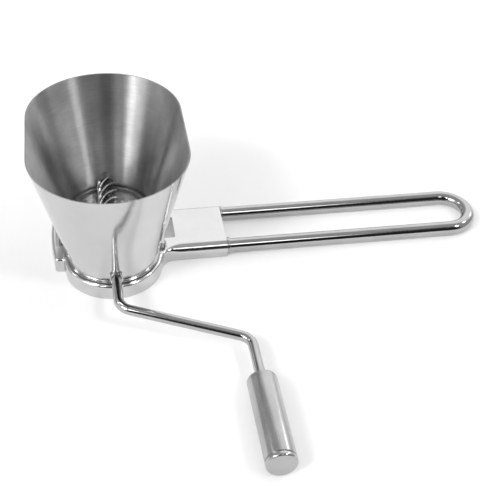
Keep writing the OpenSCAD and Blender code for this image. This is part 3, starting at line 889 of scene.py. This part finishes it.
def make_plate():
    """The plate's flange and the tray wall below it, bent from one sheet, and its punched floor."""
    flange_z = tray_high[2]
    floor_z = tray_low[2] + SHEET
    flange_r = tray_high[1] - HALF
    inner_r = OUTLET_R - 0.4 - SHEET
    top_bend, foot_bend, steps = 0.5, 0.35, 4
    turn = [math.radians(90 * i / steps) for i in range(1, steps + 1)]
    rings = [(flange_r, flange_z, 90), (inner_r + top_bend, flange_z, 90)]
    for i, a in enumerate(turn, 1):
        r = inner_r + top_bend - top_bend * math.sin(a)
        rings.append((r, flange_z - top_bend * (1 - math.cos(a)), 90 + 90 * i / steps))
    rings.append((inner_r, floor_z + foot_bend, 180))
    for i, a in enumerate(turn, 1):
        r = inner_r - foot_bend * (1 - math.cos(a))
        rings.append((r, floor_z + foot_bend * (1 - math.sin(a)), 180 - 90 * i / steps))
    rings.append((inner_r - 1.6, floor_z, 90))
    points = []
    for r, z, a in rings:
        tilt = math.radians(a)
        for x, y, nx, ny in oblong(r):
            points.append(((x, y, z), (nx * math.cos(tilt), ny * math.cos(tilt), math.sin(tilt))))
    faces = grid_faces(len(rings), len(oblong(1)))
    rim = thick_sheet("tray_rim", points, faces, SHEET * 0.98, [stamped_plate, stamped_plate, cut_edge])
    return rim, make_perforated_floor(inner_r - 1.2, floor_z)


def make_socket():
    """Blind bearing for the shaft's end, fitted to the curve of the far wall."""
    front = socket_low[1]
    outer, bore = 4.8, JOURNAL_R + RUN_FIT
    depth, at_wall = 4, 9
    profile = soften([(bore, depth), (bore, 0), (outer, 0), (outer, at_wall)], [0, 0.35, 0.5, 0], 5, closed=False)
    sides = 56
    verts = []
    for r, h in profile:
        for k in range(sides):
            a = 2 * math.pi * k / sides
            x, z = r * math.cos(a), SHAFT_Z + r * math.sin(a)
            inside = wall_r(z) - WALL
            wall_y = HALF + math.sqrt(inside * inside - x * x)
            verts.append((x, wall_y if h == at_wall else front + h, z))
    faces = grid_faces(len(profile), sides)
    faces.append(list(range(sides)))
    faces.append([(len(profile) - 1) * sides + k for k in range(sides)][::-1])
    piece = new_piece("blind_bearing", verts, faces, [turned_steel])
    tidy_mesh(piece)
    piece.data.set_sharp_from_angle(angle=math.radians(40))
    return piece


def wall_strip_path(x_out, z_low, tip):
    """Centre line of a strip welded to the hopper's side, out over the foot lip and down."""
    t = 0.5                              # half the strip's thickness
    z_pad, z_arm = FOOT_Z + 18, FOOT_Z + SHEET + 0.8 + t
    corners = [(wall_r(z_pad) + t, z_pad), (wall_r(z_arm) + t, z_arm), (x_out - t, z_arm), (x_out - t, z_low + t)]
    radii = [0, 1.2, 1.0, 0]
    if tip:
        corners.append((x_out + tip, z_low + t))
        radii = [0, 1.2, 1.0, 0.6, 0]
    return soften(corners, radii, 5, closed=False)


# ---------------------------------------------------------------- the pieces, and what each rides on

def fit(piece, node, body):
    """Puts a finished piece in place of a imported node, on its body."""
    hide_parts(node)
    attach(piece, body)


def turned(name, profile, y, finish, outward=True):
    """A piece turned about the shaft's line, from y outward to the crank or inward to the hopper."""
    return lathe(name, profile, (0, y, SHAFT_Z), finish, axis=(0, -1 if outward else 1, 0))


fit(make_hopper(), "hopper", "hopper_body")
fit(make_frame(), "base_frame", "base")
fit(make_handle(), "handle_loop", "base")
fit(make_collars(), "rod_collars", "base")
for piece in make_plate():
    fit(piece, "perforated_plate", "plate")
fit(make_crank(), "crank_rod", "crank")
for piece, node, slot in make_grip():
    fit(piece, node, "grip")
fit(make_worm_flight(), "worm_flight", "crank")

sleeve = tube_profile(ROD_R, CORE_R, core_high[1] - core_low[1])
fit(turned("worm_sleeve", sleeve, core_high[1], worm_steel_painted_light), "worm_core", "crank")

pin_low, pin_high = node_box("worm_pin")
pin_start = (-CORE_R, (pin_low[1] + pin_high[1]) / 2, SHAFT_Z)
pin_profile = soften([(0, 0), (1, 0), (1, 2 * CORE_R), (0, 2 * CORE_R)], [0, 0.2, 0.2, 0], 3)
pin = lathe("cross_pin", pin_profile, pin_start, turned_steel, axis=(1, 0, 0), sides=24)
fit(pin, "worm_pin", "crank")

bore_r, bush_r, collar_r = ROD_R + RUN_FIT, ROD_R + 0.75, ROD_R + 1.2
bush_len = bush_high[1] - bush_low[1]
bush_profile = [(bore_r, 0), (collar_r, 0), (collar_r, 1), (bush_r, 1), (bush_r, bush_len), (bore_r, bush_len)]
bush_profile = soften(bush_profile, [0.2, 0.3, 0.15, 0, 0.1, 0], 4)
bush = turned("shaft_bush", bush_profile, bush_low[1], turned_steel, outward=False)
fit(bush, "front_bush", "hopper_body")

washer_r = (washer_high[0] - washer_low[0]) / 2
washer_profile = tube_profile(bore_r, washer_r, washer_high[1] - washer_low[1])
washer = turned("shaft_washer", washer_profile, washer_high[1], turned_steel)
fit(washer, "thrust_washer", "hopper_body")
fit(make_socket(), "rear_socket", "hopper_body")

hook_path = wall_strip_path(FRAME_R + 2.3, FRAME_H - SHEET - 1.4, 1.6)
for name, y, node in (("hook_front", -HANDLE_Y, "hinge_hook_front"), ("hook_back", HANDLE_Y, "hinge_hook_back")):
    fit(bent_strip(name, hook_path, 6, 1, y, strip_steel), node, "hopper_body")

catch_path = [(-x, z) for x, z in wall_strip_path(FRAME_R + 3, FRAME_H - 5, 0)]
fit(bent_strip("spring_catch", catch_path, 14, 1, 0, strip_steel), "catch_tongue", "hopper_body")

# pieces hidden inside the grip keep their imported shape
for name, finish in (("grip_liner", liner_plastic), ("spindle_clip", turned_steel), ("spindle_washer", turned_steel)):
    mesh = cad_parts[name].data
    mesh.materials.clear()
    mesh.materials.append(finish)


# ---------------------------------------------------------------- floor, light and camera

GLOW_BELOW = 0.26    # light that comes up through the table


def make_floor():
    """A light table: a pale floor whose own glow softens the shadows."""
    mesh = bpy.data.meshes.new("studio_floor")
    mesh.from_pydata([(-6, -6, 0), (6, -6, 0), (6, 6, 0), (-6, 6, 0)], [], [(0, 1, 2, 3)])
    floor = bpy.data.objects.new("studio_floor", mesh)
    bpy.context.scene.collection.objects.link(floor)
    material, tree, place = new_material("opal acrylic light table")
    mottle = noise(tree, place, 1000 / 3, 3.0)
    opal = add(tree, "ShaderNodeBsdfPrincipled", {
        "Base Color": two_tone(tree, mottle, "D8D8D8", "DDDDDD"), "Roughness": 0.9, "Specular IOR Level": 0.1,
        "Emission Color": shade("FFFFFF"), "Emission Strength": GLOW_BELOW})
    add(tree, "ShaderNodeOutputMaterial", {"Surface": opal.outputs["BSDF"]})
    mesh.materials.append(material)
    floor.location = (0, 0, -0.0002)


def make_light():
    """A white room, darker in front, with soft boxes that give the steel its streaks."""
    world = bpy.data.worlds.new("white studio")
    bpy.context.scene.world = world
    world.use_nodes = True
    tree = world.node_tree
    tree.nodes.clear()
    ray = add(tree, "ShaderNodeTexCoord").outputs["Generated"]

    def lobe(direction, inner, outer, strength):
        """A round box seen in a direction, full to inner degrees off it and gone at outer."""
        aim = Vector(direction).normalized()
        toward = add(tree, "ShaderNodeVectorMath", {0: ray, 1: aim}, operation="DOT_PRODUCT").outputs["Value"]
        sockets = {"Value": toward, "From Min": math.cos(math.radians(outer)),
                   "From Max": math.cos(math.radians(inner)), "To Min": 0.0, "To Max": strength}
        return add(tree, "ShaderNodeMapRange", sockets, interpolation_type="SMOOTHSTEP").outputs["Result"]

    lobes = [
        lobe((0.45, 0.75, 0.5), 20, 42, 0.85),      # white wall behind, to the right
        lobe((-0.62, -0.43, 0.66), 5, 8.5, 24),     # large box, high on the left
        lobe((-0.74, -0.22, 0.64), 3, 6, 14),       # its wing, further round
        lobe((-0.35, -0.58, 0.74), 1, 5, 14),       # strip beside it
        lobe((0.52, -0.42, 0.74), 3, 6, 30),        # box, high on the right
        lobe((0.14, -0.62, 0.77), 3, 8, 4),         # box over the front
        lobe((0.68, 0.10, 0.72), 2, 5.5, 14),       # small box on the right
        lobe((0.72, 0.50, 0.48), 2, 6, 5),          # strip, right and behind
        lobe((-0.73, 0.30, 0.62), 1.5, 5, 9),       # small box on the left
        lobe((-1.0, -0.3, 0.35), 15, 35, 0.5),      # left wall
    ]
    dark_front = lobe((0.1, -1.0, 0.3), 28, 55, 1.0)
    room = {"Value": dark_front, "To Min": 0.5, "To Max": 0.03}
    total = add(tree, "ShaderNodeMapRange", room).outputs["Result"]
    for one in lobes:
        total = add(tree, "ShaderNodeMath", {0: total, 1: one}, operation="ADD").outputs["Value"]
    background = add(tree, "ShaderNodeBackground", {"Color": shade("FFFFFF"), "Strength": total})
    add(tree, "ShaderNodeOutputWorld", {"Surface": background.outputs["Background"]})

    # one wide box overhead, which lights the matt things and leaves no spot on the steel
    light = bpy.data.lights.new("key_box", "AREA")
    light.shape = "RECTANGLE"
    light.size, light.size_y = 2.6, 2.6
    light.energy = 2
    box = bpy.data.objects.new("key_box", light)
    bpy.context.scene.collection.objects.link(box)
    box.location = (0.2, 0, 2)
    aim = Vector((0.06, 0, 0))
    box.rotation_mode = "QUATERNION"
    box.rotation_quaternion = (aim - box.location).to_track_quat("-Z", "Y")
    box.visible_camera = False
    box.visible_glossy = False


def make_camera():
    """Stands in front of the crank, a little to the left, and looks down at the hopper."""
    turn, down, roll = math.radians(9.304), math.radians(37.374), math.radians(1.482)
    distance = 688.9
    target = Vector((71.9, -16, 43.2))
    ahead = Vector((math.sin(turn) * math.cos(down), math.cos(turn) * math.cos(down), -math.sin(down)))
    right = Vector((math.cos(turn), -math.sin(turn), 0))
    up = right.cross(ahead)
    right, up = right * math.cos(roll) + up * math.sin(roll), up * math.cos(roll) - right * math.sin(roll)
    lens = bpy.data.cameras.new("camera")
    lens.sensor_width = 36
    lens.lens = 1044.85 / 500 * 36
    lens.shift_x, lens.shift_y = 0.06, -0.10
    lens.clip_start, lens.clip_end = 0.01, 50
    camera = bpy.data.objects.new("camera", lens)
    bpy.context.scene.collection.objects.link(camera)
    where = (target - ahead * distance) * MM
    rows = [(right[i], up[i], -ahead[i], where[i]) for i in range(3)]
    camera.matrix_world = Matrix((*rows, (0, 0, 0, 1)))
    bpy.context.scene.camera = camera


make_floor()
make_light()
make_camera()
bpy.context.scene.view_settings.view_transform = "Standard"
